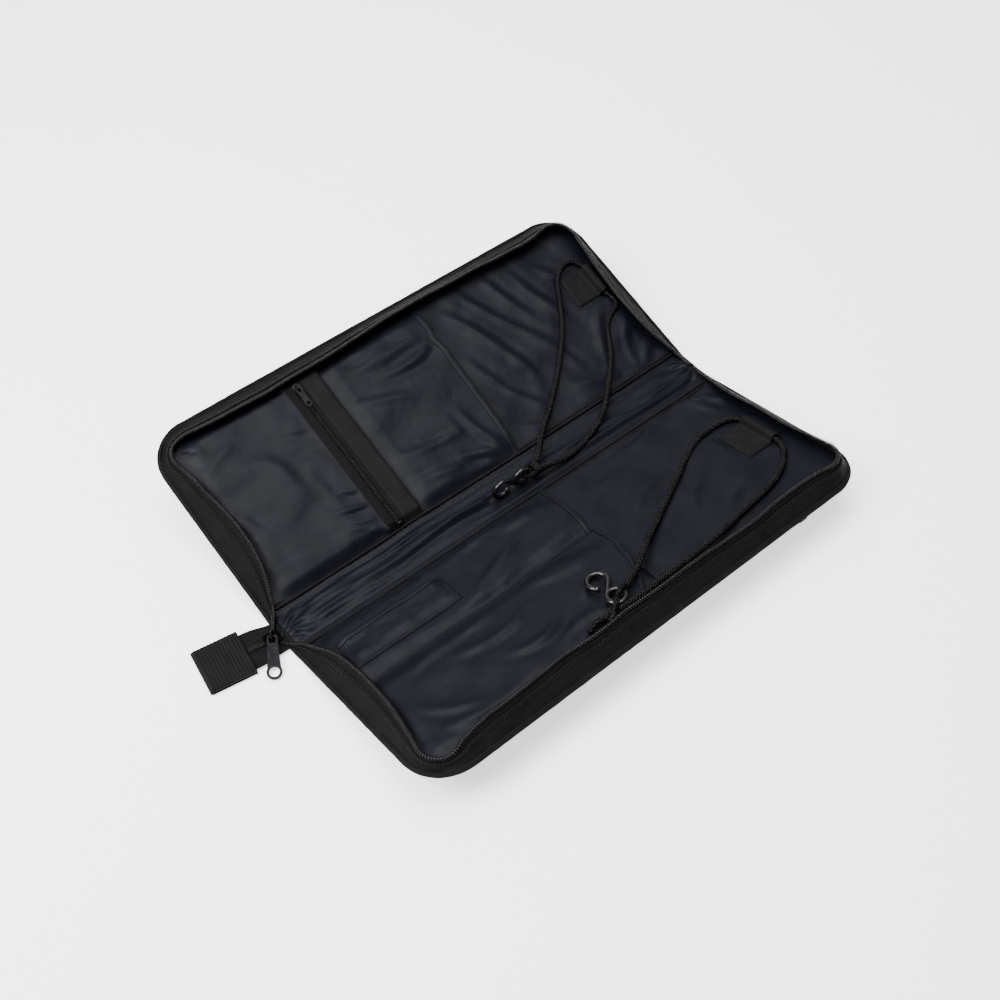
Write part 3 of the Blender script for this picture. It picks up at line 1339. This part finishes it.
def cord_leg(name, route, panel):
    """One cord from its patch to its hook or knot."""
    obj, line = braid(f"{name}_braid", route)
    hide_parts(name)
    if panel is BACK:
        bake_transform(obj)
    else:
        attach(obj, "front_panel")


def cords():
    """Both cords, each as two legs, with their loops, knots and hooks."""
    front_loop, front_knot = front_ties()
    back_loop, back_knot = back_ties()
    back_left = world_route(BACK, BACK_LEFT_ON_PANEL) + [np.array(p) for p in BACK_LEFT_ON_SPINE]
    back_right = world_route(BACK, BACK_RIGHT_ON_PANEL) + [np.array(p) for p in BACK_RIGHT_ON_SPINE]
    cord_leg("back_cord_left", back_left, BACK)
    cord_leg("back_cord_right", back_right, BACK)
    cord_leg("front_cord_left", world_route(FRONT, FRONT_LEFT), FRONT)
    cord_leg("front_cord_right", world_route(FRONT, FRONT_RIGHT), FRONT)


def front_ties():
    """The front cord's loop through its hook's eye, and its knot with the cut end."""
    centre = FRONT.world(-39.0, 161.4, 13.2)
    axes = np.stack([[1.0, 0, 0], -FRONT.outward, FRONT.normal])
    turn = np.linspace(0, 2 * np.pi, 40, endpoint=False)
    bundle = np.stack([
        2.9 * (np.sin(turn) + 1.6 * np.sin(2 * turn)),
        1.15 * (np.cos(turn) - 2 * np.cos(2 * turn)),
        -1.3 * np.sin(3 * turn),
    ], axis=1)
    turns = centre + bundle @ axes
    knot, _ = braid("front_cord_knot_braid", [*turns, turns[0]], 1.9)
    place(knot, "cord_braid", FRONT, "front_cord_knot")
    parts = []
    for name, places in (
        ("cut_end", ((-44.0, 161.0, 12.6), (-50.0, 159.0, 12.0), (-56.0, 160.5, 11.8), (-61.0, 163.0, 11.9))),
        ("loop_in", (
            (-9.0, 147.2, 12.1), (-12.0, 148.5, 16.6), (-15.5, 149.5, 17.0),
            (-19.0, 150.4, 14.0), (-20.6, 150.8, 11.7),
        )),
        ("loop_out", (
            (-21.4, 151.2, 11.7), (-23.4, 153.4, 14.2), (-26.0, 156.6, 17.0),
            (-30.0, 159.6, 16.8), (-34.0, 161.0, 13.6),
        )),
    ):
        part, _ = braid(f"front_cord_{name}", [FRONT.world(*p) for p in places], 2.2)
        parts.append(place(part, "cord_braid", FRONT))
    cut_end, loop_in, loop_out = parts
    return loop_in, [loop_out, knot, cut_end]


def back_ties():
    """The back cord's loop through its hook's eye, and the knot wound round its two legs."""
    ring = [(34.5, -1.0, 14.5), (28.0, 0.4, 14.6), (21.5, 0.0, 14.5), (17.4, -2.0, 14.4), (16.6, -4.8, 14.4)]
    ring += [(17.4, -7.4, 14.4), (21.5, -9.2, 14.5), (28.0, -9.4, 14.6), (33.5, -8.2, 14.5)]
    loop, _ = braid("back_cord_loop", [np.array(p) for p in ring], 1.9)
    place(loop, "cord_braid", "spine")
    centre = np.array([31.0, -4.7, 14.5])
    turns = grid(0, 9.2, 0.35)
    wrap = [centre + [0.5 * t - 2.2, 5.9 * math.cos(1.9 * t), 3.0 * math.sin(1.9 * t)] for t in turns]
    knot, _ = braid("back_cord_knot_braid", wrap, 1.75)
    return loop, place(knot, "cord_braid", "spine", "back_cord_knot")


# ---------------------------------------------------------------- hard parts


def hard_nodes():
    """The CAD pieces that are shown as they are, with their materials."""
    metal = (
        "main_slider", "main_pull", "pocket_slider", "pocket_pull",
        "pocket_zip_stops", "zip_bottom_stop", "zip_top_stops",
    )
    for names, material in ((metal, METAL), (("front_hook", "back_hook"), PLASTIC)):
        for name in names:
            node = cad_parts[name]
            node.data.materials.clear()
            node.data.materials.append(material)


# ---------------------------------------------------------------- stage

VIEW_TARGET = Vector((-0.0086, -0.0045, 0.0))
VIEW_AZIMUTH, VIEW_ELEVATION, VIEW_DISTANCE = math.radians(-39.7), math.radians(52.3), 1.1635
LENS = 48.12


def stage():
    """The camera, the floor and the lights."""
    flat = math.cos(VIEW_ELEVATION)
    back = Vector((math.sin(VIEW_AZIMUTH) * flat, -math.cos(VIEW_AZIMUTH) * flat, math.sin(VIEW_ELEVATION)))
    camera = bpy.data.objects.new("camera", bpy.data.cameras.new("camera"))
    camera.data.lens = LENS
    camera.data.sensor_width = 36.0
    camera.location = VIEW_TARGET + back * VIEW_DISTANCE
    camera.rotation_euler = back.to_track_quat("Z", "Y").to_euler()
    bpy.context.scene.collection.objects.link(camera)
    bpy.context.scene.camera = camera

    bpy.ops.mesh.primitive_plane_add(size=14.0, location=(0, 0, -0.0002))
    floor = bpy.context.object
    floor.name = "floor"
    shade = Shader("floor_white")
    look = {"Roughness": 0.9, "Specular_IOR_Level": 0.1, "Emission_Strength": 1.3}
    look.update(Base_Color=(0.96, 0.96, 0.96, 1), Emission_Color=(1, 1, 1, 1))
    floor.data.materials.append(shade.finish(None, **look))

    world = bpy.data.worlds.new("studio")
    world.use_nodes = True
    world.node_tree.nodes["Background"].inputs[0].default_value = (1.0, 1.0, 1.0, 1)
    world.node_tree.nodes["Background"].inputs[1].default_value = 0.42
    bpy.context.scene.world = world
    for name, place, size, power in (
        ("key_light", (-1.1, 0.3, 1.4), 0.9, 55.0),
        ("top_light", (0.1, 0.2, 2.0), 1.4, 62.0),
        ("back_light", (0.7, 1.4, 1.1), 1.0, 6.0),
    ):
        lamp = bpy.data.lights.new(name, "AREA")
        lamp.size = size
        lamp.energy = power
        obj = bpy.data.objects.new(name, lamp)
        obj.location = place
        obj.rotation_euler = Vector(place).to_track_quat("Z", "Y").to_euler()
        bpy.context.scene.collection.objects.link(obj)


def main():
    for panel, seed, folds in ((BACK, 100, BACK_FOLDS), (FRONT, 200, FRONT_FOLDS)):
        shell_cloth(panel, seed)
        edge_pieces(panel, seed)
        fold_cloth(panel)
        seam_cord(panel, seed + 40)
        lining(panel, folds, seed + 60)
    spine_cloth()
    pockets()
    outside_pocket()
    cord_patch(BACK, *PATCHES["back"], 5)
    cord_patch(FRONT, *PATCHES["front"], 6)
    tail()
    cords()
    hard_nodes()
    stage()


main()
